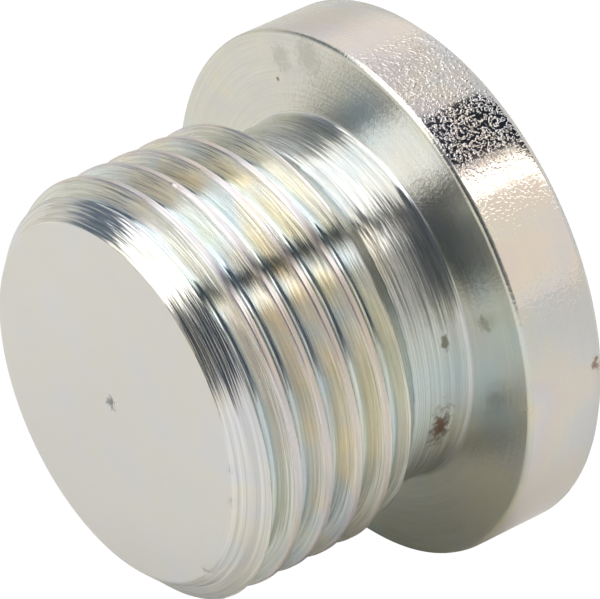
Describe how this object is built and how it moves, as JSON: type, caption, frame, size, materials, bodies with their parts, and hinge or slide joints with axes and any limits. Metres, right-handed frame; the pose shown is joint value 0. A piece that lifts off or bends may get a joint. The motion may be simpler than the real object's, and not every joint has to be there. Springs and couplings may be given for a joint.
{
  "type": "hex socket plug",
  "caption": "Threaded screw plug with a round collar and a hexagon socket, which closes and seals a threaded port.",
  "frame": {"origin": "centre of the collar's outer face, where the hexagon socket opens", "axes": "+Z along the plug's axis from the collar towards the threaded end; +X through a corner of the hexagon socket; +Y across its flats"},
  "size_m": [0.023, 0.023, 0.016],
  "materials": {
    "plated_steel": "bright zinc plating with a faint iridescent tint over turned steel"
  },
  "bodies": {
    "root": {"socket_plug": "plated_steel"}
  },
  "joints": []
}
